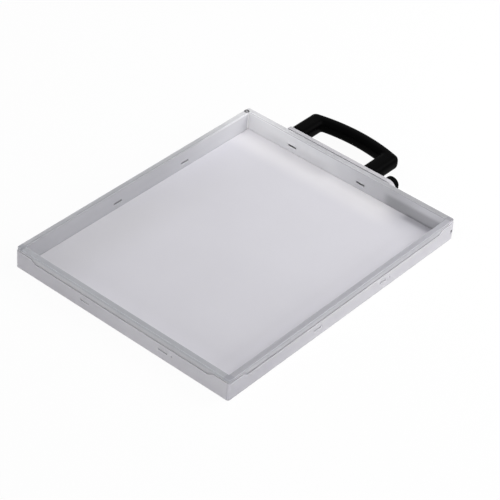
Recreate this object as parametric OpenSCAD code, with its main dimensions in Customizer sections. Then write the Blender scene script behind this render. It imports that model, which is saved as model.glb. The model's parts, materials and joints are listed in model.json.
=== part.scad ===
// Negative carrier: a shallow frosted tray with a hollow rim, a carrying handle and a latch bolt that a knob
// drives through a pinion and a rack inside the back wall.
// The handle side is the back, +Y. The case lies on Z = 0 with its middle over the origin.

/* [Film pocket] */
// Width of the pocket inside the rim
pocket_w = 284; // [250:1:330]
// Depth of the pocket inside the rim
pocket_d = 360; // [330:1:420]

/* [Case] */
// Height of the case
case_h = 26; // [25.5:0.5:32]
// Width of the hollow rim
rim_w = 7; // [6.8:0.1:9]
// Radius of the upright corners
corner_r = 2.5; // [1:0.5:4]
// Thickness of the base's outer walls
base_wall = 1.5; // [1.2:0.1:1.7]
// Thickness of the frame's inner walls
frame_wall = 1.4; // [1.2:0.1:1.6]
// Thickness of the rim's top
rim_top = 1.8; // [1.4:0.1:2.4]
// Thickness of the frame's skirt
skirt_wall = 1.4; // [1.3:0.1:1.6]
// Step from the base's outer face in to the skirt
skirt_inset = 0.8; // [0.6:0.1:1.1]

/* [Pane] */
// Thickness of the ledge under the pane
ledge_t = 1; // [0.8:0.1:1.6]
// Width of the ledge inside the pocket
ledge_w = 9; // [6:0.5:15]
// Radius of the light opening's corners
light_r = 6; // [2:0.5:12]
// Thickness of the pane
pane_t = 1.5; // [1:0.1:2]
// Gap round the pane in its rebate
pane_gap = 0.3; // [0.1:0.1:0.5]
// How far the pane runs out past the frame's foot
pane_lap = 0.6; // [0.3:0.1:1]

/* [Seam] */
// Height of the seam between base and frame
seam_h = 17.4; // [16.4:0.2:19]
// Gap of the seam
seam_gap = 0.5; // [0.3:0.1:0.8]
// Rise of the base's corners above the seam
corner_rise = 4; // [2:0.5:5]
// Length of a raised corner
corner_len = 22; // [15:1:30]
// Length of the slope beside a raised corner
corner_slope = 6; // [4:0.5:10]

/* [Snaps] */
// Spacing of the two snaps on the front and sides
snap_pitch = 109; // [80:1:130]
// Spacing of the two snaps on the back
back_pitch = 100; // [90:1:104]
// Middle of the back pair of snaps
snap_back = -26; // [-34:1:-20]
// Middle of the front pair of snaps
snap_front = 6; // [-20:1:20]
// Middle of the right pair of snaps
snap_right = 6; // [-20:1:20]
// Middle of the left pair of snaps
snap_left = 15; // [-20:1:20]
// Height of a window's middle
window_z = 10.5; // [9.5:0.1:11.5]
// Length of a window
window_l = 12; // [8:0.5:16]
// Height of a window
window_h = 2.8; // [2.4:0.1:3.6]
// Gap round a hook in its window
hook_gap = 0.3; // [0.2:0.1:0.5]
// Step from the base's outer face in to a hook
hook_face = 0.4; // [0.2:0.1:0.8]
// Thickness of a snap tab
tab_t = 1.2; // [1:0.1:1.5]
// Gap between a snap tab and the base's wall
tab_gap = 0.25; // [0.2:0.05:0.4]
// How far a snap tab is wider than its window, each side
tab_side = 1; // [0.5:0.5:3]
// How far a snap tab runs down past its window
tab_tail = 1.6; // [1:0.2:3]
// Diameter of the small hole beside a window
vent_d = 2; // [1.5:0.1:2.6]
// Distance of that hole from the window's middle
vent_step = 12; // [11:0.5:16]

/* [Eyelet] */
// Distance of the eyelet from the back face
eyelet_back = 8; // [7:0.5:30]
// Diameter of the eyelet's flange
flange_d = 4.8; // [4:0.1:5.4]
// Thickness of the eyelet's flange
flange_t = 0.7; // [0.5:0.1:1]
// Diameter of the eyelet's barrel
barrel_d = 2.8; // [2.5:0.1:2.9]
// Diameter of the eyelet's bore
eyelet_bore = 2.2; // [1.8:0.1:2.3]
// Step of the post inside the eyelet below the rim's top
post_drop = 0.3; // [0.1:0.1:1]
// Gap round the eyelet
eyelet_gap = 0.1; // [0.06:0.01:0.15]
// Depth of the barrel in its boss
barrel_seat = 5; // [3:0.5:8]
// Length of the boss along the wall
boss_l = 6; // [5:0.5:10]
// Step of the boss below the seam
boss_drop = 1; // [0.5:0.5:4]

/* [Handle] */
// Middle of the handle along the back
handle_x = -28.2; // [-36:0.2:-20]
// Distance between the handle's feet, middle to middle
handle_span = 104.8; // [98:0.2:110]
// How far the handle stands out from its plate
handle_reach = 53.9; // [46:0.2:65]
// Width of the bar, seen from above
grip_w = 16; // [14:0.2:20]
// Width of the handle's two legs
leg_w = 21.7; // [18:0.2:25]
// Thickness of the bar
grip_h = 17.4; // [12:0.2:20]
// Radius of the bar's rounded edges
grip_r = 5.9; // [2:0.2:7]
// Lean of the legs, in degrees, spreading towards the grip
leg_spread = 0.1; // [0:0.1:6]
// Radius of the handle's outer corners
bend_out = 8.3; // [6:0.2:16]
// Radius of the grip's bow, at the middle of the bar
bow_r = 202; // [160:1:400]
// How much fuller the bends are than the bar, each side
bend_full = 0.1; // [0.1:0.05:0.3]

/* [Handle plate] */
// Thickness of the plate
plate_t = 6.2; // [5.6:0.1:9]
// How far the plate runs past the left foot
plate_left = 0.3; // [0.3:0.1:8]
// How far the plate runs past the knob's axis
plate_right = 12.4; // [11:0.2:18]
// Height of the plate's lower edge
plate_foot = 3.7; // [2:0.1:5]
// Step of the plate's top below the rim
plate_drop = 0.2; // [0.2:0.1:1.5]
// Radius of the plate's left corners
plate_left_r = 3; // [1:0.5:8]
// Depth of the relief that clears the frame's skirt
relief_t = 1.2; // [0.6:0.1:1.6]

/* [Latch] */
// Turn of the knob from open to shut, in degrees
knob_turn = 90; // [60:5:100]
// Height of the bolt's axis
bolt_z = 11; // [10.6:0.1:11.4]
// Diameter of the bolt
rod_d = 2.5; // [2:0.1:2.7]
// Running gap round the bolt in its guide
rod_fit = 0.04; // [0.02:0.01:0.09]
// Step of the bolt's nose inside the right face
nose_back = 0.4; // [0.2:0.1:1]
// Depth of the countersink round the nose
nose_sink = 0.8; // [0.5:0.1:1]
// Length of the bolt inside its carriage
rod_seat = 12; // [8:1:13]
// Gap between the latch and the walls
latch_gap = 0.35; // [0.25:0.05:0.45]
// Cover of the carriage over the bolt
bar_cover = 1.2; // [1:0.1:1.6]
// Length of the rack's tongue inside the carriage
tongue_l = 6; // [4:0.5:7]
// Step of the tongue in from the rack's faces
tongue_step = 0.7; // [0.5:0.1:0.9]
// Length of the carriage
bar_l = 19; // [18:0.5:24]
// Height of the bolt's guide
guide_h = 14; // [12.5:0.5:14.5]
// Gap round the guide
guide_gap = 0.3; // [0.2:0.1:0.4]
// Thickness of the ribs that hold the guide
rib_t = 1.2; // [1:0.1:2]
// Distance of the hold-down ribs from the guide's ends
rib_step = 10; // [6:1:18]

/* [Rack and pinion] */
// Module of the teeth
tooth_m = 1; // [0.9:0.05:1.1]
// Number of teeth on the pinion
teeth = 10; // [10:1:11]
// Pressure angle of the teeth, in degrees
pressure = 30; // [28:0.5:30]
// Height of a tooth above the pitch line, in modules
addendum = 0.7; // [0.6:0.05:0.75]
// Depth of a tooth below the pitch line, in modules
dedendum = 1.1; // [1:0.05:1.15]
// Thinning of each tooth at the pitch line
tooth_play = 0.2; // [0.15:0.01:0.26]
// Thickness of the rack under its teeth
rack_back = 2.5; // [2.2:0.1:2.8]
// Teeth of the rack left of the knob
rack_left = 4; // [4:1:5]

/* [Knob] */
// Middle of the knob along the back
knob_x = 51.5; // [50:0.5:54]
// Diameter of the knob's head
knob_d = 18.1; // [16:0.1:19]
// Length of the knob's head
head_l = 7.6; // [6.5:0.1:10]
// Radius of the head's rounded edge
head_r = 1.6; // [1:0.1:2.2]
// Diameter of the knob's neck
neck_d = 13; // [11:0.5:14]
// Length of the knob's neck
neck_l = 2.1; // [1.5:0.1:4]
// Width of the slot across the knob's face
coin_w = 2.4; // [1.6:0.1:3]
// Depth of the slot across the knob's face
coin_t = 1.6; // [1:0.1:2]
// Diameter of the stud's shoulder
shoulder_d = 4; // [3.6:0.1:4.4]
// Running gap round the shoulder
shoulder_fit = 0.05; // [0.03:0.01:0.09]
// Diameter of the stud's ends
stud_d = 3; // [2.6:0.1:3.2]
// Length of the stud inside the knob
stud_grip = 6; // [4:0.5:7]
// Diameter of the washer
washer_d = 13; // [11:0.5:14]
// Thickness of the washer
washer_t = 0.8; // [0.5:0.1:1.2]
// Gap between the washer and the plate
washer_gap = 0.1; // [0.05:0.05:0.3]

/* [Fasteners] */
// Diameter of a plate screw
plate_screw_d = 3; // [2.6:0.1:3.4]
// Distance between the plate screws
plate_screw_span = 52; // [40:1:60]
// Height of the plate screws
plate_screw_z = 11; // [9:0.5:13]
// Head diameter of a plate screw
pan_d = 5.6; // [5:0.1:6]
// Head height of a plate screw
pan_h = 1.8; // [1.4:0.1:2]
// Length of a plate screw inside the plate
plate_screw_grip = 4.5; // [3:0.1:5]
// Diameter of a handle screw
handle_screw_d = 4; // [3.4:0.1:4.2]
// Head diameter of a handle screw
flat_d = 8; // [7:0.1:8.4]
// Length of a handle screw inside the handle
handle_screw_grip = 8; // [6:0.5:10]
// Diameter of a threaded insert
insert_d = 6; // [5.6:0.1:7]
// Length of a threaded insert
insert_l = 9; // [7:0.5:12]
// Gap round screws and studs in their threads
thread_gap = 0.03; // [0.02:0.01:0.06]
// Gap round screws in their clearance holes
clear_gap = 0.2; // [0.15:0.05:0.3]

/* [Hidden] */
$fn = 64;
bow_facets = 480;
over = 1;
inner_r = 0.6;
bend_lap = 0.8;

case_w = pocket_w + 2 * rim_w;
case_d = pocket_d + 2 * rim_w;
floor_z = ledge_t + pane_t;
corner_h = seam_h + corner_rise;
hollow_in = rim_w - frame_wall;
hollow_mid = (base_wall + hollow_in) / 2;
tab_face = base_wall + tab_gap;
pane_inset = hollow_in - pane_lap;
boss_top = seam_h - boss_drop;
eyelet_in = skirt_inset + skirt_wall + eyelet_gap + barrel_d / 2;

plate_top = case_h - plate_drop;
plate_y = case_d / 2 + plate_t;
plate_x0 = handle_x - handle_span / 2 - leg_w / 2 - plate_left;
plate_x1 = knob_x + plate_right;
plate_r = (plate_top - plate_foot) / 2;
handle_z = plate_top - grip_h / 2;
leg_lean = -leg_spread;

// The grip's bow, the bends and the legs meet as tangents, which fixes the middle of each bend
grip_y = handle_reach - grip_w / 2;
bow_drop = bow_r - grip_y;
bend_leg = bend_out - leg_w / 2;
bend_bow = bow_r + grip_w / 2 - bend_out;
bend_a = handle_span / 2 - bend_leg / cos(leg_lean);
bend_b = tan(leg_lean);
quad_a = 1 + bend_b ^ 2;
quad_b = 2 * (bow_drop - bend_a * bend_b);
quad_c = bend_a ^ 2 + bow_drop ^ 2 - bend_bow ^ 2;
bend_y = (sqrt(quad_b ^ 2 - 4 * quad_a * quad_c) - quad_b) / (2 * quad_a);
bend_x = bend_a - bend_b * bend_y;
bow_half = asin(bend_x / bend_bow);
bow_turn = bow_half + atan(bend_lap / bow_r);
leg_l = (bend_y + bend_leg * sin(leg_lean)) / cos(leg_lean);

pitch_r = tooth_m * teeth / 2;
base_r = pitch_r * cos(pressure);
tip_r = pitch_r + addendum * tooth_m;
root_r = pitch_r - dedendum * tooth_m;
tooth_pitch = PI * tooth_m;
latch_travel = pitch_r * knob_turn * PI / 180;
knob_z = plate_foot + plate_r;
knob_y = plate_t + washer_gap + washer_t;
rack_z = knob_z - pitch_r;
rack_root = rack_z - dedendum * tooth_m;
rack_foot = rack_root - rack_back;
rack_x0 = knob_x - (rack_left + 0.5) * tooth_pitch;
latch_t = hollow_in - base_wall - 2 * latch_gap;
pinion_in = skirt_inset + skirt_wall + latch_gap;
flank_steps = 5;
flank = [for (i = [0 : flank_steps]) base_r + (tip_r - base_r) * i / flank_steps];

bar_x0 = knob_x + tip_r + 4 * latch_gap;
bar_x1 = bar_x0 + bar_l;
guide_x0 = bar_x1 + latch_travel + 2 * latch_gap;
guide_x1 = case_w / 2 - base_wall - guide_gap;
guide_l = guide_x1 - guide_x0;
shelf_top = rack_foot - latch_gap;
rod_r = rod_d / 2;
bar_top = bolt_z + rod_r + bar_cover;

// Rectangle with true arcs at its corners
module rounded_rect(w, d, r) {
    square([w, d - 2 * r], center = true);
    square([w - 2 * r, d], center = true);
    for (x = [-1, 1], y = [-1, 1])
        translate([x * (w / 2 - r), y * (d / 2 - r)])
            circle(r);
}

// Plan of the case, stepped in from its outer face
module plan(inset) {
    rounded_rect(case_w - 2 * inset, case_d - 2 * inset, max(corner_r - inset, inner_r));
}

// Upright wall that follows the case's plan between two insets
module ring_wall(outer, inner, z0, z1) {
    translate([0, 0, z0])
        linear_extrude(z1 - z0)
            difference() {
                plan(outer);
                plan(inner);
            }
}

// Puts a shape on a side's outer face: x runs along the side and y points out of the case
module on_back(x) {
    translate([x, case_d / 2, 0])
        children();
}

module on_front(x) {
    translate([x, -case_d / 2, 0])
        mirror([0, 1, 0])
            children();
}

module on_right(y) {
    translate([case_w / 2, y, 0])
        rotate(-90)
            children();
}

module on_left(y) {
    translate([-case_w / 2, y, 0])
        rotate(90)
            children();
}

// Repeats a shape at each of the snaps
module at_snaps() {
    for (s = [-0.5, 0.5]) {
        on_front(snap_front + s * snap_pitch)
            children();
        on_right(snap_right + s * snap_pitch)
            children();
        on_left(snap_left + s * snap_pitch)
            children();
        on_back(snap_back + s * back_pitch)
            children();
    }
}

// Repeats a shape at the handle's two feet
module at_feet() {
    for (s = [-0.5, 0.5])
        on_back(handle_x + s * handle_span)
            translate([0, 0, handle_z])
                children();
}

// Repeats a shape at the plate's two screws
module at_plate_screws() {
    for (s = [-0.5, 0.5])
        on_back(handle_x + s * plate_screw_span)
            translate([0, 0, plate_screw_z])
                children();
}

// Turns a shape that stands on Z so that it points out along Y
module along_y() {
    rotate([-90, 0, 0])
        children();
}

// Round shape along Y between two distances from the outer face
module round_y(r, y0, y1) {
    translate([0, y0, 0])
        along_y()
            cylinder(r = r, h = y1 - y0);
}

// Prism along X whose polygon is drawn in Y and Z
module prism_x(length, points) {
    rotate([90, 0, 90])
        linear_extrude(length, center = true)
            polygon(points);
}

// Space between two raised corners, seen from the side, for a wall of the given length
module corner_gap(length, grow) {
    low = length / 2 - corner_len - corner_slope - grow;
    high = length / 2 - corner_len - grow;
    polygon([[-low, seam_h + grow], [low, seam_h + grow], [high, corner_h + grow],
             [high, case_h + over], [-high, case_h + over], [-high, corner_h + grow]]);
}

// The same space cut through all four walls
module corner_gaps(grow) {
    rotate([90, 0, 0])
        linear_extrude(case_d + over, center = true)
            corner_gap(case_w, grow);
    rotate([90, 0, 90])
        linear_extrude(case_w + over, center = true)
            corner_gap(case_d, grow);
}

// Bottom ring with the pane's rebate and the light opening
module base_floor() {
    difference() {
        linear_extrude(floor_z)
            plan(0);
        translate([0, 0, ledge_t])
            linear_extrude(pane_t + over)
                plan(pane_inset - pane_gap);
        translate([0, 0, -over])
            linear_extrude(ledge_t + 2 * over)
                rounded_rect(pocket_w - 2 * ledge_w, pocket_d - 2 * ledge_w, light_r);
    }
}

// Boss in the hollow of the rim that takes the eyelet's barrel round a post
module eyelet_boss() {
    on_left(case_d / 2 - eyelet_back)
        translate([-boss_l / 2, -hollow_in + eyelet_gap, floor_z / 2])
            cube([boss_l, hollow_in - eyelet_gap - base_wall / 2, boss_top - floor_z / 2]);
    on_left(case_d / 2 - eyelet_back)
        translate([0, -eyelet_in, boss_top - barrel_seat / 2])
            cylinder(r = eyelet_bore / 2 - eyelet_gap, h = case_h - post_drop - boss_top + barrel_seat / 2);
}

// Low shelf that the rack and its carriage run over, and that stops the guide from sliding towards the knob
module latch_shelf() {
    on_back(rack_x0)
        translate([0, -pane_inset + pane_gap, floor_z / 2])
            cube([guide_x0 - guide_gap - rack_x0, pane_inset - pane_gap - base_wall / 2,
                  shelf_top - floor_z / 2]);
}

// Bearing for the knob's shoulder through a wall
module stud_hole(y0, y1) {
    on_back(knob_x)
        translate([0, 0, knob_z])
            round_y(shoulder_d / 2 + shoulder_fit, y0, y1);
}

// Hole and countersink for the bolt's nose in the right wall
module nose_hole() {
    nose_r = rod_r + 2 * rod_fit;
    on_right(case_d / 2 - hollow_mid)
        translate([0, 0, bolt_z]) {
            round_y(nose_r, -base_wall - over, over);
            translate([0, -nose_sink, 0])
                along_y()
                    cylinder(r1 = nose_r, r2 = nose_r + 2 * nose_sink, h = 2 * nose_sink);
        }
}

module base_shell() {
    color("#c4c4cb")
        difference() {
            union() {
                difference() {
                    ring_wall(0, base_wall, 0, corner_h);
                    corner_gaps(0);
                }
                base_floor();
                eyelet_boss();
                latch_shelf();
            }
            at_snaps()
                translate([-window_l / 2, -base_wall - over / 2, window_z - window_h / 2])
                    cube([window_l, base_wall + over, window_h]);
            for (s = [snap_pitch / 2 + vent_step]) {
                on_front(snap_front + s)
                    translate([0, 0, window_z])
                        round_y(vent_d / 2, -base_wall - over / 2, over);
                on_right(snap_right + s)
                    translate([0, 0, window_z])
                        round_y(vent_d / 2, -base_wall - over / 2, over);
                on_left(snap_left - s)
                    translate([0, 0, window_z])
                        round_y(vent_d / 2, -base_wall - over / 2, over);
            }
            at_plate_screws()
                round_y(plate_screw_d / 2 + clear_gap, -base_wall - over, over);
            stud_hole(-base_wall - over / 2, over);
            nose_hole();
            on_left(case_d / 2 - eyelet_back)
                translate([0, -eyelet_in, boss_top - barrel_seat])
                    difference() {
                        cylinder(r = barrel_d / 2 + eyelet_gap, h = barrel_seat + over);
                        cylinder(r = eyelet_bore / 2 - eyelet_gap, h = barrel_seat + over);
                    }
        }
}

// Outer skirt of the frame, cut back over the base's raised corners
module skirt() {
    skirt_in = skirt_inset + skirt_wall;
    intersection() {
        ring_wall(skirt_inset, skirt_in, seam_h + seam_gap, corner_h + seam_gap);
        corner_gaps(seam_gap);
    }
    ring_wall(skirt_inset, skirt_in, corner_h + seam_gap, case_h);
}

// Springy tab behind a window with a hook that stands in it
module snap_tab() {
    tab_w = window_l + 2 * tab_side;
    tab_foot = window_z - window_h / 2 - tab_tail;
    hook_low = window_z - window_h / 2 + hook_gap;
    hook_high = window_z + window_h / 2 - hook_gap;
    translate([-tab_w / 2, -tab_face - tab_t, tab_foot])
        cube([tab_w, tab_t, case_h - rim_top / 2 - tab_foot]);
    prism_x(window_l - 2 * hook_gap,
            [[-tab_face - tab_t / 2, hook_low], [-tab_face, hook_low],
             [-hook_face, (hook_low + hook_high) / 2], [-hook_face, hook_high],
             [-tab_face - tab_t / 2, hook_high]]);
}

// Ribs under the rim's top that keep the guide down
module hold_down_ribs() {
    rib_foot = floor_z + guide_h + guide_gap;
    for (x = [guide_x0 + rib_step, guide_x1 - rib_step])
        on_back(x)
            translate([-rib_t / 2, -rim_w + frame_wall / 2, rib_foot])
                cube([rib_t, rim_w - frame_wall / 2 - tab_face, case_h - rim_top / 2 - rib_foot]);
}

module rim_frame() {
    color("#b9bdc2")
        difference() {
            union() {
                ring_wall(skirt_inset, rim_w, case_h - rim_top, case_h);
                ring_wall(hollow_in, rim_w, floor_z, case_h);
                skirt();
                at_snaps()
                    snap_tab();
                hold_down_ribs();
            }
            at_snaps()
                translate([-window_l / 2, -rim_w - over, window_z - window_h / 2])
                    cube([window_l, frame_wall + over + tab_gap, window_h]);
            on_left(case_d / 2 - eyelet_back)
                translate([0, -eyelet_in, 0]) {
                    translate([0, 0, case_h - rim_top - over])
                        cylinder(r = barrel_d / 2 + eyelet_gap, h = rim_top + over);
                    translate([0, 0, case_h - flange_t])
                        cylinder(r = flange_d / 2 + eyelet_gap, h = flange_t + over);
                }
        }
}

module diffuser_pane() {
    color("#dcdce2")
        translate([0, 0, ledge_t])
            linear_extrude(pane_t)
                plan(pane_inset);
}

// Tubular rivet, turned about its own axis
module corner_eyelet() {
    barrel_top = case_h - flange_t;
    barrel_foot = boss_top - barrel_seat + eyelet_gap;
    color("#1c1c1e")
        on_left(case_d / 2 - eyelet_back)
            translate([0, -eyelet_in, 0])
                rotate_extrude() {
                    translate([eyelet_bore / 2, barrel_foot])
                        square([(barrel_d - eyelet_bore) / 2, case_h - barrel_foot]);
                    translate([eyelet_bore / 2, barrel_top])
                        square([(flange_d - eyelet_bore) / 2, flange_t]);
                }
}

// Face of the handle plate in X and Z, with rounded corners on the left and one round end beside the knob
module plate_face() {
    left_x = plate_x0 + plate_left_r;
    translate([left_x, plate_foot])
        square([plate_x1 - plate_r - left_x, 2 * plate_r]);
    translate([plate_x0, plate_foot + plate_left_r])
        square([plate_left_r + over, 2 * (plate_r - plate_left_r)]);
    for (z = [plate_foot + plate_left_r, plate_top - plate_left_r])
        translate([left_x, z])
            circle(plate_left_r);
    translate([plate_x1 - plate_r, knob_z])
        circle(plate_r);
}

module handle_plate() {
    sink = (flat_d - handle_screw_d) / 2;
    color("#cfd0d5")
        difference() {
            translate([0, plate_y, 0])
                rotate([90, 0, 0])
                    linear_extrude(plate_t)
                        plate_face();
            on_back(plate_x0 - over)
                translate([0, -over, seam_h])
                    cube([plate_x1 - plate_x0 + 2 * over, relief_t + over, case_h]);
            at_feet() {
                round_y(handle_screw_d / 2 + clear_gap, -over, plate_t + over);
                round_y(flat_d / 2 + clear_gap, -over, relief_t);
                translate([0, relief_t, 0])
                    along_y()
                        cylinder(r1 = flat_d / 2 + clear_gap, r2 = handle_screw_d / 2 + clear_gap, h = sink);
            }
            at_plate_screws()
                round_y(plate_screw_d / 2 + thread_gap, -over, plate_screw_grip + clear_gap);
            stud_hole(-over, plate_t + over);
        }
}

module plate_screws() {
    color("#8c8e92")
        at_plate_screws() {
            round_y(pan_d / 2, -base_wall - pan_h, -base_wall);
            round_y(plate_screw_d / 2, -base_wall - pan_h / 2, plate_screw_grip);
        }
}

// Cross-section of the handle's bar, stepped in from the bends
module bar_section(width, inset) {
    rounded_rect(width - 2 * inset, grip_h - 2 * inset, grip_r);
}

// Outer part of the bar's section, from the middle of a bend out to the bar's outer side
module bend_section() {
    translate([0, -grip_h / 2])
        square([bend_out - grip_r, grip_h]);
    translate([0, grip_r - grip_h / 2])
        square([bend_out, grip_h - 2 * grip_r]);
    for (z = [grip_r - grip_h / 2, grip_h / 2 - grip_r])
        translate([bend_out - grip_r, z])
            intersection() {
                circle(grip_r);
                translate([0, -grip_r])
                    square([grip_r, 2 * grip_r]);
            }
}

// One leg with its bend, on the right half of the handle
module leg_and_bend() {
    translate([bend_x, bend_y, 0])
        rotate(leg_lean)
            rotate_extrude(angle = 90 - leg_lean - bow_half)
                bend_section();
    difference() {
        translate([handle_span / 2, 0, 0])
            rotate(leg_lean)
                translate([0, leg_l + bend_lap, 0])
                    rotate([90, 0, 0])
                        linear_extrude(leg_l + bend_lap + leg_w / 2)
                            bar_section(leg_w, 2 * bend_full);
        translate([0, -handle_span, -grip_h])
            cube([2 * handle_span, handle_span, 2 * grip_h]);
    }
}

module handle_grip() {
    color("#161617")
        difference() {
            translate([handle_x, plate_y, handle_z]) {
                translate([0, grip_y - bow_r, 0])
                    rotate(90 - bow_turn)
                        rotate_extrude(angle = 2 * bow_turn, $fn = bow_facets)
                            translate([bow_r, 0])
                                bar_section(grip_w, bend_full);
                leg_and_bend();
                mirror([1, 0, 0])
                    leg_and_bend();
            }
            at_feet()
                round_y(insert_d / 2 + thread_gap, plate_t - over, plate_t + insert_l + clear_gap);
        }
}

module handle_inserts() {
    color("#b59a55")
        at_feet()
            difference() {
                round_y(insert_d / 2, plate_t, plate_t + insert_l);
                round_y(handle_screw_d / 2 + thread_gap, plate_t - over, plate_t + insert_l + over);
            }
}

module handle_screws() {
    sink = (flat_d - handle_screw_d) / 2;
    color("#8c8e92")
        at_feet() {
            translate([0, relief_t, 0])
                along_y()
                    cylinder(r1 = flat_d / 2, r2 = handle_screw_d / 2, h = sink);
            round_y(handle_screw_d / 2, relief_t + sink / 2, plate_t + handle_screw_grip);
        }
}

// Knob, turned about Y, with a hollow end for the stud and a slot across its face
module latch_knob() {
    knob_l = neck_l + head_l;
    color("#141415")
        on_back(knob_x)
            translate([0, knob_y, knob_z])
                along_y()
                    difference() {
                        rotate_extrude() {
                            square([neck_d / 2, neck_l + head_r]);
                            translate([0, neck_l]) {
                                square([knob_d / 2 - head_r, head_l]);
                                translate([0, head_r])
                                    square([knob_d / 2, head_l - 2 * head_r]);
                                for (z = [head_r, head_l - head_r])
                                    translate([knob_d / 2 - head_r, z])
                                        circle(head_r);
                            }
                        }
                        translate([0, 0, -over])
                            cylinder(r = stud_d / 2 + thread_gap, h = stud_grip + clear_gap + over);
                        translate([-knob_d / 2, -coin_w / 2, knob_l - coin_t])
                            cube([knob_d, coin_w, coin_t + over]);
                    }
}

module knob_washer() {
    color("#e6e3da")
        on_back(knob_x)
            translate([0, 0, knob_z])
                difference() {
                    round_y(washer_d / 2, plate_t + washer_gap, knob_y);
                    round_y(shoulder_d / 2 + thread_gap, plate_t, knob_y + over);
                }
}

module knob_stud() {
    color("#9a9ca0")
        on_back(knob_x)
            translate([0, 0, knob_z]) {
                round_y(stud_d / 2, -hollow_in + latch_gap, knob_y + stud_grip);
                round_y(shoulder_d / 2, -pinion_in, knob_y);
            }
}

// Half the angle that a pinion tooth takes at a radius, from the involute of its base circle
function roll(a) = tan(a) * 180 / PI - a;
function thinning() = tooth_play / 2 / pitch_r * 180 / PI;
function half_tooth(r) = 90 / teeth - thinning() + roll(pressure) - roll(acos(base_r / r));
function polar(r, a) = [r * cos(a), r * sin(a)];

// Outline of one pinion tooth, up one flank and down the other
function tooth_edge(middle) = concat(
    [polar(root_r, middle - half_tooth(base_r))],
    [for (r = flank) polar(r, middle - half_tooth(r))],
    [for (i = [flank_steps : -1 : 0]) polar(flank[i], middle + half_tooth(flank[i]))],
    [polar(root_r, middle + half_tooth(base_r))]);

module latch_pinion() {
    color("#e9e7df")
        difference() {
            on_back(knob_x)
                translate([0, -pinion_in, knob_z])
                    rotate([90, 0, 0])
                        linear_extrude(hollow_in - latch_gap - pinion_in)
                            polygon([for (i = [0 : teeth - 1], p = tooth_edge((i + 0.5) * 360 / teeth - 90)) p]);
            on_back(knob_x)
                translate([0, 0, knob_z])
                    round_y(stud_d / 2 + thread_gap, -rim_w, 0);
        }
}

// Profile of the rack in X and Z, one tooth of it under the pinion's axis
module rack_teeth() {
    half = (tooth_pitch / 2 - tooth_play) / 2;
    top = half - addendum * tooth_m * tan(pressure);
    foot = half + dedendum * tooth_m * tan(pressure);
    for (i = [-rack_left : 1])
        translate([knob_x + i * tooth_pitch, rack_z])
            polygon([[-foot, -dedendum * tooth_m], [foot, -dedendum * tooth_m],
                     [top, addendum * tooth_m], [-top, addendum * tooth_m]]);
    translate([rack_x0, rack_foot])
        square([bar_x0 - rack_x0, rack_back]);
}

module latch_rack() {
    color("#e9e7df") {
        on_back(0)
            translate([0, -base_wall - latch_gap, 0])
                rotate([90, 0, 0])
                    linear_extrude(latch_t)
                        rack_teeth();
        on_back(bar_x0 - over)
            translate([0, -hollow_in + latch_gap + tongue_step, rack_foot + tongue_step])
                cube([tongue_l + over, latch_t - 2 * tongue_step, rack_back - 2 * tongue_step]);
    }
}

// Carriage that joins the rack to the bolt
module latch_bar() {
    room = tongue_step - thread_gap;
    color("#202022")
        difference() {
            on_back(bar_x0)
                translate([0, -hollow_in + latch_gap, rack_foot])
                    cube([bar_x1 - bar_x0, latch_t, bar_top - rack_foot]);
            on_back(bar_x0 - over)
                translate([0, -hollow_in + latch_gap + room, rack_foot + room])
                    cube([tongue_l + thread_gap + over, latch_t - 2 * room, rack_back - 2 * room]);
            on_back(bar_x1 - rod_seat)
                translate([0, -hollow_mid, bolt_z])
                    rotate([0, 90, 0])
                        cylinder(r = rod_r + thread_gap, h = rod_seat + over);
        }
}

// Bolt with a bevelled nose
module latch_rod() {
    nose_x = case_w / 2 - nose_back;
    tip = rod_r / 2;
    rod_x = bar_x1 - rod_seat + thread_gap;
    color("#a7a9ad")
        on_back(rod_x)
            translate([0, -hollow_mid, bolt_z])
                rotate([0, 90, 0]) {
                    cylinder(r = rod_r, h = nose_x - tip - rod_x);
                    translate([0, 0, nose_x - tip - rod_x])
                        cylinder(r1 = rod_r, r2 = rod_r - tip, h = tip);
                }
}

module bolt_guide() {
    color("#1b1b1d")
        difference() {
            on_back(guide_x0)
                translate([0, -hollow_in + guide_gap, floor_z])
                    cube([guide_l, hollow_in - base_wall - 2 * guide_gap, guide_h]);
            on_back(guide_x0 - over)
                translate([0, -hollow_mid, bolt_z])
                    rotate([0, 90, 0])
                        cylinder(r = rod_r + rod_fit, h = guide_l + 2 * over);
        }
}

base_shell();
rim_frame();
diffuser_pane();
corner_eyelet();
handle_plate();
plate_screws();
handle_grip();
handle_inserts();
handle_screws();
latch_knob();
knob_washer();
knob_stud();
latch_pinion();
latch_rack();
latch_bar();
latch_rod();
bolt_guide();
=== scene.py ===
import json
import math

import bmesh
import bpy
from mathutils import Matrix, Vector


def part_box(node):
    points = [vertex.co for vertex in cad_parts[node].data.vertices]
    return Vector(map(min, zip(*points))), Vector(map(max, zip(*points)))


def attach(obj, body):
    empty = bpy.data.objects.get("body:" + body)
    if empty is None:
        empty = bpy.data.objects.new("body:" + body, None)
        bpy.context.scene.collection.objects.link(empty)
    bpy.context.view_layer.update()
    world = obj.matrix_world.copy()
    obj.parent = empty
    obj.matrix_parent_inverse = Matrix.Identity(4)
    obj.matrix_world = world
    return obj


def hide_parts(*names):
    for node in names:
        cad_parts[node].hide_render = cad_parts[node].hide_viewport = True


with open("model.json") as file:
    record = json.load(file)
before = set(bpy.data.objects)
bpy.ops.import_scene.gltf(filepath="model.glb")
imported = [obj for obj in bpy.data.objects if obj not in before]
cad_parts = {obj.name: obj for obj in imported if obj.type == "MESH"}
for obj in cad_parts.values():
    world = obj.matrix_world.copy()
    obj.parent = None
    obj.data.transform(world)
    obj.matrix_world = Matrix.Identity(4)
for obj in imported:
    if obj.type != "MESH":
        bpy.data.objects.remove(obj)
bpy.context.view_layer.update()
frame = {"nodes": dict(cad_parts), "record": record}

mm = 0.001
nodes = frame["nodes"]
scene = bpy.context.scene
scene.view_settings.view_transform = "Standard"
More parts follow.
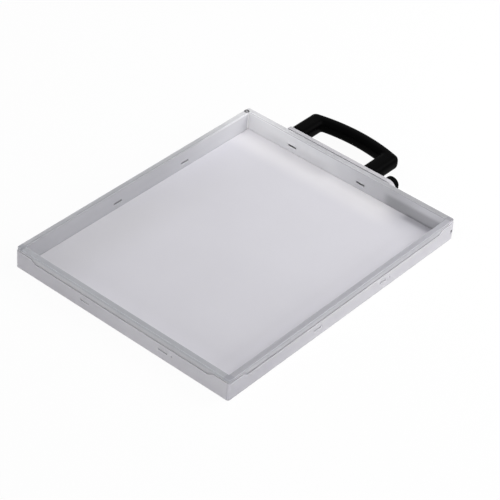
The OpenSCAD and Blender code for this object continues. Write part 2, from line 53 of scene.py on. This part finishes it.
print("frame loaded with", len(nodes), "nodes")


# camera
shot = {
    "target": (6.79, 11.03, 0.0),   # mm, on the table under the pane
    "azimuth": 37.771,              # degrees round from the front
    "elevation": 38.12,
    "roll": 4.852,
    "distance": 2197.3,             # mm
    "lens": 146.66,
    "sensor": 36.0,
    "reach": 20.0,                  # m, how far the camera sees
}


def placeCamera(look):
    turn, lift, roll = (math.radians(look[k]) for k in ("azimuth", "elevation", "roll"))
    back = Vector((math.sin(turn) * math.cos(lift), -math.cos(turn) * math.cos(lift), math.sin(lift)))
    right = Vector((math.cos(turn), math.sin(turn), 0.0))
    up = back.cross(right)
    rolledRight = math.cos(roll) * right + math.sin(roll) * up
    rolledUp = math.cos(roll) * up - math.sin(roll) * right
    spot = Vector(look["target"]) * mm + back * look["distance"] * mm
    lensData = bpy.data.cameras.new("carrierCamera")
    lensData.sensor_fit = "HORIZONTAL"
    lensData.sensor_width = look["sensor"]
    lensData.lens = look["lens"]
    lensData.clip_end = look["reach"]
    camera = bpy.data.objects.new("carrierCamera", lensData)
    camera.matrix_world = Matrix((
        (rolledRight.x, rolledUp.x, back.x, spot.x),
        (rolledRight.y, rolledUp.y, back.y, spot.y),
        (rolledRight.z, rolledUp.z, back.z, spot.z),
        (0.0, 0.0, 0.0, 1.0),
    ))
    scene.collection.objects.link(camera)
    scene.camera = camera


placeCamera(shot)
print("camera placed")


# finishes
noiseSpan = (0.3, 0.7)      # most of a noise texture lies between these
noiseDetail = {"cloud": 4.0, "frost": 2.0, "grain": 3.0, "line": 2.0}
bumpHeight = {"frost": 0.1, "grain": 0.1, "line": 0.05}     # mm


class Finish:
    def __init__(self, name):
        self.material = bpy.data.materials.new(name)
        self.material.use_nodes = True
        self.tree = self.material.node_tree
        self.shader = self.tree.nodes["Principled BSDF"]
        self.place = self.add("ShaderNodeTexCoord").outputs["Object"]

    def add(self, kind, **settings):
        node = self.tree.nodes.new(kind)
        for key, value in settings.items():
            setattr(node, key, value)
        return node

    def join(self, source, target):
        self.tree.links.new(source, target)

    def noise(self, scale, kind, stretch=None):
        node = self.add("ShaderNodeTexNoise")
        node.inputs["Scale"].default_value = scale
        node.inputs["Detail"].default_value = noiseDetail[kind]
        source = self.place
        if stretch:
            mapping = self.add("ShaderNodeMapping")
            mapping.inputs["Scale"].default_value = stretch
            self.join(self.place, mapping.inputs["Vector"])
            source = mapping.outputs["Vector"]
        self.join(source, node.inputs["Vector"])
        return node.outputs["Fac"]

    def spread(self, source, low=0.0, high=1.0):
        node = self.add("ShaderNodeMapRange")
        node.inputs["From Min"].default_value = noiseSpan[0]
        node.inputs["From Max"].default_value = noiseSpan[1]
        node.inputs["To Min"].default_value = low
        node.inputs["To Max"].default_value = high
        self.join(source, node.inputs["Value"])
        return node.outputs["Result"]

    def blend(self, factor, first, second):
        node = self.add("ShaderNodeMix", data_type="RGBA")
        self.join(factor, node.inputs["Factor"])
        node.inputs["A"].default_value = (*first, 1.0)
        node.inputs["B"].default_value = (*second, 1.0)
        return node.outputs["Result"]

    def clouded(self, look):
        cloud = self.spread(self.noise(look["cloudScale"], "cloud"))
        return self.blend(cloud, look["pale"], look["deep"])

    def ramp(self, source, start, end):     # in mm
        node = self.add("ShaderNodeMapRange", interpolation_type="SMOOTHSTEP")
        node.inputs["From Min"].default_value = start * mm
        node.inputs["From Max"].default_value = end * mm
        self.join(source, node.inputs["Value"])
        return node.outputs["Result"]

    def product(self, first, second):
        node = self.add("ShaderNodeMath", operation="MULTIPLY")
        self.join(first, node.inputs[0])
        self.join(second, node.inputs[1])
        return node.outputs[0]

    # multiplies the colour by a painted tint inside a soft box: above 1 it is painted light, below 1
    # painted shade
    def paintLightAndShade(self, source, spot):
        parts = self.add("ShaderNodeSeparateXYZ")
        self.join(self.place, parts.inputs[0])
        share = None
        for axis, (low, high), soft in zip(parts.outputs, spot["box"], spot["soft"]):
            inside = self.product(self.ramp(axis, low - soft, low), self.ramp(axis, high + soft, high))
            share = self.product(share, inside) if share else inside
        node = self.add("ShaderNodeMix", data_type="RGBA", blend_type="MULTIPLY")
        self.join(share, node.inputs["Factor"])
        self.join(source, node.inputs["A"])
        node.inputs["B"].default_value = (*spot["tint"], 1.0)
        return node.outputs["Result"]

    def bump(self, source, strength, kind):
        node = self.add("ShaderNodeBump")
        node.inputs["Strength"].default_value = strength
        node.inputs["Distance"].default_value = bumpHeight[kind] * mm
        self.join(source, node.inputs["Height"])
        self.join(node.outputs["Normal"], self.shader.inputs["Normal"])


def frostedPlastic(name, look):
    finish = Finish(name)
    shader = finish.shader.inputs
    colour = finish.clouded(look)
    # painted light and painted shade are multiplied into the cloud colour here
    for spot in paintedLightShade.get(name, {}).values():
        colour = finish.paintLightAndShade(colour, spot)
    finish.join(colour, shader["Base Color"])
    frost = finish.noise(look["frostScale"], "frost")
    finish.join(finish.spread(frost, look["smooth"], look["rough"]), shader["Roughness"])
    finish.bump(frost, look["frostBump"], "frost")
    shader["Subsurface Weight"].default_value = 1.0
    shader["Subsurface Radius"].default_value = (1.0, 1.0, 1.0)
    shader["Subsurface Scale"].default_value = look["milk"] * mm
    shader["Specular IOR Level"].default_value = look["gloss"]
    return finish.material


def mouldedPlastic(name, look):
    finish = Finish(name)
    shader = finish.shader.inputs
    finish.join(finish.clouded(look), shader["Base Color"])
    grain = finish.noise(look["grainScale"], "grain")
    finish.join(finish.spread(grain, look["smooth"], look["rough"]), shader["Roughness"])
    finish.bump(grain, look["grainBump"], "grain")
    shader["Specular IOR Level"].default_value = look["gloss"]
    return finish.material


def turnedMetal(name, look):
    finish = Finish(name)
    shader = finish.shader.inputs
    lines = finish.noise(look["lineScale"], "line", look["lineStretch"])
    finish.join(finish.blend(finish.spread(lines), look["pale"], look["deep"]), shader["Base Color"])
    finish.join(finish.spread(lines, look["smooth"], look["rough"]), shader["Roughness"])
    finish.bump(lines, look["lineBump"], "line")
    shader["Metallic"].default_value = 1.0
    return finish.material


# painted light and painted shade: soft tints in the frosted finishes stand in for the latch, bolt and
# hollows darkening the walls from behind, for light coming through the walls, for seam shadows, and for
# light falling off across rims, walls and pane
caseX = (-150, 150)         # x in mm, a little past the case
caseY = (-188, 188)         # y
caseZ = (-1, 27)            # z
backWall = (178, 184)       # y, the inner wall on the handle's side
leftWall = (-145, -141)     # x, the inner wall on the left
rightFace = (146, 150)      # x, the outer wall on the right
rightSkirt = (147, 150)     # x, the frame's own strip of that wall
wallUp = (0, 24)            # z, inner walls below the rim
rimUp = (24, 27)            # z, top of the rim
paneUp = (0, 8)             # z, round the pane


def lightShadePatch(x, y, z, soft, tint):      # the tint fades out over soft mm past the box
    return {"box": (x, y, z), "soft": soft, "tint": tint}


paintedLightShade = {
    "frosted_base": {
        # painted shade: the front wall's left end and the right wall's near end darker where less light
        # falls, and a painted shadow on the right wall where the bolt stands behind it
        "left end": lightShadePatch((-150, -50), (-190, -184), caseZ, soft=(80, 1, 1), tint=(0.90, 0.90, 0.90)),
        "near end": lightShadePatch(rightFace, (-190, -140), caseZ, soft=(1, 110, 1), tint=(0.86, 0.86, 0.87)),
        "bolt": lightShadePatch(rightFace, (182, 185), (9.5, 12.5), soft=(1, 1.5, 1.5), tint=(0.5, 0.5, 0.51)),
    },
    "frosted_frame": {
        # painted shadow of the latch and its guide block behind the back wall, on the inner wall, along its
        # foot and on the rim above
        "latch": lightShadePatch((66, 143), backWall, (0, 13.5), soft=(12, 1, 6), tint=(0.69, 0.69, 0.69)),
        "latch foot": lightShadePatch((95, 143), backWall, (0, 4), soft=(8, 1, 2), tint=(0.74, 0.74, 0.75)),
        "latch rim": lightShadePatch((70, 150), (180, 188), (25.6, 27), soft=(60, 0.5, 0.3), tint=(0.77, 0.77, 0.77)),
        # painted light: light coming through the back wall into its inner face and rim, brightest at the
        # left end, and on the back end of the inner left wall and the right end of the inner back wall; the
        # foot of the back wall gets painted shade
        "light back": lightShadePatch((-143, -110), backWall, wallUp, soft=(190, 1, 1), tint=(1.74, 1.74, 1.72)),
        "light rim": lightShadePatch((-150, -125), (172, 188), (24.5, 27), soft=(90, 95, 1), tint=(1.42, 1.42, 1.40)),
        "back foot shade": lightShadePatch((-95, -45), backWall, (0, 8), soft=(35, 1, 10), tint=(0.88, 0.88, 0.88)),
        "light left": lightShadePatch((-145, -142), (172, 179.5), wallUp, soft=(0.5, 160, 1), tint=(1.42, 1.42, 1.40)),
        "light right": lightShadePatch((140, 143), backWall, wallUp, soft=(75, 1, 1), tint=(1.38, 1.38, 1.38)),
        # painted shade: the inner left wall, the front, right and left rim tops, the inner lip of the left
        # rim and the right skirt darker where less light falls
        "left shade": lightShadePatch(leftWall, (-180, 179), wallUp, soft=(1, 1, 1), tint=(0.86, 0.86, 0.87)),
        "front rim": lightShadePatch(caseX, (-188, -179), rimUp, soft=(1, 1, 1), tint=(0.84, 0.855, 0.87)),
        "right rim": lightShadePatch((141, 150), caseY, rimUp, soft=(1, 1, 1), tint=(0.83, 0.82, 0.85)),
        "left rim": lightShadePatch((-150, -141), (-188, -20), rimUp, soft=(1, 70, 1), tint=(0.92, 0.92, 0.93)),
        "left lip": lightShadePatch((-143.6, -141), (-180, 80), (25, 27), soft=(0.6, 60, 0.5), tint=(0.86,) * 3),
        "right skirt": lightShadePatch(rightSkirt, caseY, (10, 24), soft=(1, 1, 1), tint=(0.92, 0.92, 0.93)),
        # painted shadow in the seam under the frame's skirt, on the right and front sides
        "right lip": lightShadePatch(rightSkirt, caseY, (17.4, 18.9), soft=(1, 1, 0.4), tint=(0.6, 0.6, 0.61)),
        "front lip": lightShadePatch(caseX, (-188, -186), (17.4, 18.7), soft=(1, 1, 0.4), tint=(0.75, 0.75, 0.76)),
    },
    "frosted_pane": {
        # painted light: the pane lighter beside the latch, at the far corner and along its back, right and
        # front edges, where light comes through the walls
        "beside latch": lightShadePatch((-10, 64), (172, 184), paneUp, soft=(22, 14, 1), tint=(1.13, 1.13, 1.13)),
        "far corner": lightShadePatch((-145, -115), (150, 184), paneUp, soft=(40, 60, 1), tint=(1.03, 1.03, 1.03)),
        "back edge": lightShadePatch((-130, 58), (165, 184), paneUp, soft=(40, 30, 1), tint=(1.19, 1.185, 1.15)),
        "right edge": lightShadePatch((124, 143), (-184, 120), paneUp, soft=(18, 40, 1), tint=(1.10, 1.10, 1.10)),
        "front edge": lightShadePatch((-60, 143), (-184, -162), paneUp, soft=(80, 26, 1), tint=(1.09, 1.09, 1.09)),
        # painted shadow of the latch guide on the pane by the back wall, and painted shade along the pane's
        # left side
        "latch": lightShadePatch((95, 143), (176, 184), paneUp, soft=(12, 8, 1), tint=(0.72, 0.72, 0.73)),
        "left shade": lightShadePatch((-150, -135), (-188, -60), paneUp, soft=(70, 160, 1), tint=(0.91, 0.91, 0.895)),
    },
}
frosted = {     # milk is how far light wanders in the plastic, in mm
    "frosted_base": {
        "pale": (0.59, 0.58, 0.622), "deep": (0.56, 0.55, 0.592), "cloudScale": 14.0,
        "smooth": 0.45, "rough": 0.60, "frostScale": 900.0, "frostBump": 0.12, "milk": 6.0, "gloss": 0.3,
    },
    "frosted_frame": {
        "pale": (0.515, 0.515, 0.538), "deep": (0.485, 0.485, 0.508), "cloudScale": 14.0,
        "smooth": 0.45, "rough": 0.60, "frostScale": 900.0, "frostBump": 0.12, "milk": 3.0, "gloss": 0.3,
    },
    "frosted_pane": {
        "pale": (0.685, 0.677, 0.72), "deep": (0.662, 0.654, 0.696), "cloudScale": 9.0,
        "smooth": 0.50, "rough": 0.65, "frostScale": 1100.0, "frostBump": 0.10, "milk": 0.2, "gloss": 0.3,
    },
    "frosted_plate": {
        "pale": (0.55, 0.542, 0.57), "deep": (0.53, 0.522, 0.55), "cloudScale": 16.0,
        "smooth": 0.40, "rough": 0.55, "frostScale": 900.0, "frostBump": 0.10, "milk": 1.5, "gloss": 0.3,
    },
}
moulded = {
    "black_plastic": {
        "pale": (0.0012, 0.0012, 0.0013), "deep": (0.0008, 0.0008, 0.0009), "cloudScale": 60.0,
        "smooth": 0.24, "rough": 0.36, "grainScale": 1600.0, "grainBump": 0.15, "gloss": 0.012,
    },
    "black_metal": {
        "pale": (0.025, 0.025, 0.026), "deep": (0.014, 0.014, 0.015), "cloudScale": 300.0,
        "smooth": 0.30, "rough": 0.45, "grainScale": 2500.0, "grainBump": 0.10, "gloss": 0.55,
    },
    "white_plastic": {
        "pale": (0.80, 0.79, 0.75), "deep": (0.75, 0.74, 0.70), "cloudScale": 90.0,
        "smooth": 0.35, "rough": 0.50, "grainScale": 1600.0, "grainBump": 0.08, "gloss": 0.45,
    },
}
turned = {
    "steel": {
        "pale": (0.50, 0.50, 0.51), "deep": (0.38, 0.38, 0.39), "lineScale": 800.0,
        "lineStretch": (4.0, 0.3, 4.0), "smooth": 0.25, "rough": 0.42, "lineBump": 0.10,
    },
    "brass": {
        "pale": (0.66, 0.51, 0.24), "deep": (0.55, 0.42, 0.18), "lineScale": 800.0,
        "lineStretch": (4.0, 0.3, 4.0), "smooth": 0.25, "rough": 0.40, "lineBump": 0.10,
    },
}
finishes = {}
for slotName, look in frosted.items():
    finishes[slotName] = frostedPlastic(slotName, look)
for slotName, look in moulded.items():
    finishes[slotName] = mouldedPlastic(slotName, look)
for slotName, look in turned.items():
    finishes[slotName] = turnedMetal(slotName, look)
print("finishes made:", len(finishes))


# every CAD node takes its slot's finish, and most get soft edges
edges = {       # mm
    "base_shell": 0.35, "rim_frame": 0.35, "diffuser_pane": 0.2, "handle_plate": 0.4, "plate_screws": 0.2,
    "handle_inserts": 0.2, "handle_screws": 0.2, "knob_washer": 0.15, "knob_stud": 0.15, "latch_bar": 0.3,
    "bolt_guide": 0.3,
}
edgeLook = {"weld": 0.01, "flatTo": 0.5, "sharpFrom": 38, "segments": 2}    # weld in mm, angles in degrees


def softenEdges(node, width):
    weld = node.modifiers.new("weld", "WELD")
    weld.merge_threshold = edgeLook["weld"] * mm
    flat = node.modifiers.new("flat", "DECIMATE")
    flat.decimate_type = "DISSOLVE"
    flat.angle_limit = math.radians(edgeLook["flatTo"])
    bevel = node.modifiers.new("softEdge", "BEVEL")
    bevel.width = width * mm
    bevel.segments = edgeLook["segments"]
    bevel.limit_method = "ANGLE"
    bevel.angle_limit = math.radians(edgeLook["sharpFrom"])
    bevel.harden_normals = True


for part in frame["record"]["subparts"]:
    node = nodes[part["node"]]
    node.data.materials.clear()
    node.data.materials.append(finishes[part["material_slot"]])
    if part["node"] in edges:
        softenEdges(node, edges[part["node"]])
print("CAD nodes dressed")


# the grip is one smooth moulding
grip = {"node": "handle_grip", "mesh": 0.7, "ease": 0.5, "passes": 45}     # mesh in mm


def easeGrip(look):
    node = nodes[look["node"]]
    even = node.modifiers.new("evenMesh", "REMESH")
    even.mode = "VOXEL"
    even.voxel_size = look["mesh"] * mm
    even.use_smooth_shade = True
    ease = node.modifiers.new("ease", "SMOOTH")
    ease.factor = look["ease"]
    ease.iterations = look["passes"]


easeGrip(grip)
print("grip eased")


# eyelet with its rolled rim, and the head of the post that it holds
eyelet = {      # radii and heights in mm, roll is the count of points round the rim
    "rim": 3.0, "mouth": 1.85, "barrel": 1.4, "bore": 1.1, "seat": 2.4,
    "sink": 0.65, "rise": 0.3, "roll": 9,
}
postHead = {"radius": 1.8, "crown": 0.3, "under": 0.36, "roll": 5}     # mm
turnSteps = 48
sameSpot = 0.001    # mm, points on the axis closer than this are one


def turnPiece(name, profile, centre, slotName):
    count = len(profile)
    points = []
    faces = []
    for step in range(turnSteps):
        angle = 2 * math.pi * step / turnSteps
        here, there = step * count, (step + 1) % turnSteps * count
        for i, (radius, height) in enumerate(profile):
            j = (i + 1) % count
            across = radius * mm * math.cos(angle)
            along = radius * mm * math.sin(angle)
            points.append((centre.x + across, centre.y + along, height))
            faces.append((here + i, there + i, there + j, here + j))
    mesh = bpy.data.meshes.new(name)
    mesh.from_pydata(points, [], faces)
    work = bmesh.new()
    work.from_mesh(mesh)
    bmesh.ops.remove_doubles(work, verts=work.verts, dist=sameSpot * mm)
    bmesh.ops.recalc_face_normals(work, faces=work.faces)
    work.to_mesh(mesh)
    work.free()
    mesh.shade_smooth()
    mesh.materials.append(finishes[slotName])
    piece = bpy.data.objects.new(name, mesh)
    scene.collection.objects.link(piece)
    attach(piece, "case")
    return piece


def rollEyelet(look):
    low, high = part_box("corner_eyelet")
    foot, top = low.z, high.z
    under = top - look["sink"] * mm
    middle, reach = (look["rim"] + look["mouth"]) / 2, (look["rim"] - look["mouth"]) / 2
    profile = [(look["bore"], foot), (look["bore"], under)]
    for i in range(look["roll"]):
        angle = math.pi * (1 - i / (look["roll"] - 1))
        profile.append((middle + reach * math.cos(angle), top + look["rise"] * mm * math.sin(angle)))
    profile += [(look["seat"], top), (look["seat"], under), (look["barrel"], under), (look["barrel"], foot)]
    piece = turnPiece("eyeletRing", profile, (low + high) / 2, "black_metal")
    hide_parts("corner_eyelet")


def crownPost(look):
    low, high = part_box("corner_eyelet")
    profile = [(0.0, high.z - look["under"] * mm), (look["radius"], high.z - look["under"] * mm)]
    for i in range(look["roll"]):
        angle = math.pi / 2 * i / (look["roll"] - 1)
        profile.append((look["radius"] * math.cos(angle), high.z + look["crown"] * mm * math.sin(angle)))
    turnPiece("postHead", profile, (low + high) / 2, "frosted_base")


rollEyelet(eyelet)
crownPost(postHead)
print("eyelet made")


# table and light
table = {       # size and drop in m, white is the share of the backdrop's white over the shaded floor
    "size": 12.0, "drop": 0.0002, "colour": (0.9, 0.9, 0.9), "rough": 0.9, "white": 0.94,
}
lights = {      # places and sizes in m, the sky is dim towards dimSide
    "sky": {"bright": 1.06, "dim": 0.03, "dimSide": (-0.48, 0.62, 0.62), "dimFrom": 0.35, "dimFull": 0.8},
    "back": {"spot": (0.5, 0.7, 0.8), "size": 1.0, "power": 8.3},
}


def seenRays(tree):     # 1 where the camera, a gloss or a clear piece looks at the white
    rays = tree.nodes.new("ShaderNodeLightPath")
    seen = rays.outputs["Is Camera Ray"]
    for kind in ("Is Glossy Ray", "Is Transmission Ray"):
        either = tree.nodes.new("ShaderNodeMath")
        either.operation = "MAXIMUM"
        tree.links.new(seen, either.inputs[0])
        tree.links.new(rays.outputs[kind], either.inputs[1])
        seen = either.outputs[0]
    return seen


def layTable(look):
    half = look["size"] / 2
    corners = [(-half, -half, 0), (half, -half, 0), (half, half, 0), (-half, half, 0)]
    mesh = bpy.data.meshes.new("table")
    mesh.from_pydata(corners, [], [(0, 1, 2, 3)])
    top = bpy.data.objects.new("table", mesh)
    top.location.z = -look["drop"]
    scene.collection.objects.link(top)
    finish = Finish("tableTop")
    finish.shader.inputs["Base Color"].default_value = (*look["colour"], 1.0)
    finish.shader.inputs["Roughness"].default_value = look["rough"]
    share = finish.add("ShaderNodeMath", operation="MULTIPLY")
    finish.join(seenRays(finish.tree), share.inputs[0])
    share.inputs[1].default_value = look["white"]
    white = finish.add("ShaderNodeEmission")
    mix = finish.add("ShaderNodeMixShader")
    finish.join(share.outputs[0], mix.inputs["Fac"])
    finish.join(finish.shader.outputs["BSDF"], mix.inputs[1])
    finish.join(white.outputs["Emission"], mix.inputs[2])
    finish.join(mix.outputs["Shader"], finish.tree.nodes["Material Output"].inputs["Surface"])
    mesh.materials.append(finish.material)


def lightSky(look):
    white = (1.0, 1.0, 1.0, 1.0)
    world = bpy.data.worlds.new("paleRoom")
    scene.world = world
    world.use_nodes = True
    tree = world.node_tree
    sky = tree.nodes["Background"]
    sky.inputs["Color"].default_value = white
    toward = tree.nodes.new("ShaderNodeVectorMath")
    toward.operation = "DOT_PRODUCT"
    toward.inputs[1].default_value = Vector(look["dimSide"]).normalized()
    tree.links.new(tree.nodes.new("ShaderNodeTexCoord").outputs["Generated"], toward.inputs[0])
    fade = tree.nodes.new("ShaderNodeMapRange")
    fade.interpolation_type = "SMOOTHSTEP"
    fade.inputs["From Min"].default_value = look["dimFrom"]
    fade.inputs["From Max"].default_value = look["dimFull"]
    fade.inputs["To Min"].default_value = look["bright"]
    fade.inputs["To Max"].default_value = look["dim"]
    tree.links.new(toward.outputs["Value"], fade.inputs["Value"])
    tree.links.new(fade.outputs["Result"], sky.inputs["Strength"])
    seen = tree.nodes.new("ShaderNodeBackground")
    seen.inputs["Color"].default_value = white
    mix = tree.nodes.new("ShaderNodeMixShader")
    tree.links.new(seenRays(tree), mix.inputs["Fac"])
    tree.links.new(sky.outputs["Background"], mix.inputs[1])
    tree.links.new(seen.outputs["Background"], mix.inputs[2])
    tree.links.new(mix.outputs["Shader"], tree.nodes["World Output"].inputs["Surface"])


def hangLamp(name, look):
    data = bpy.data.lights.new(name, "AREA")
    data.shape = "SQUARE"
    data.size = look["size"]
    data.energy = look["power"]
    lamp = bpy.data.objects.new(name, data)
    spot = Vector(look["spot"])
    lamp.location = spot
    lamp.rotation_euler = spot.to_track_quat("Z", "Y").to_euler()
    scene.collection.objects.link(lamp)


layTable(table)
lightSky(lights["sky"])
hangLamp("backLamp", lights["back"])
print("table and lamps set")
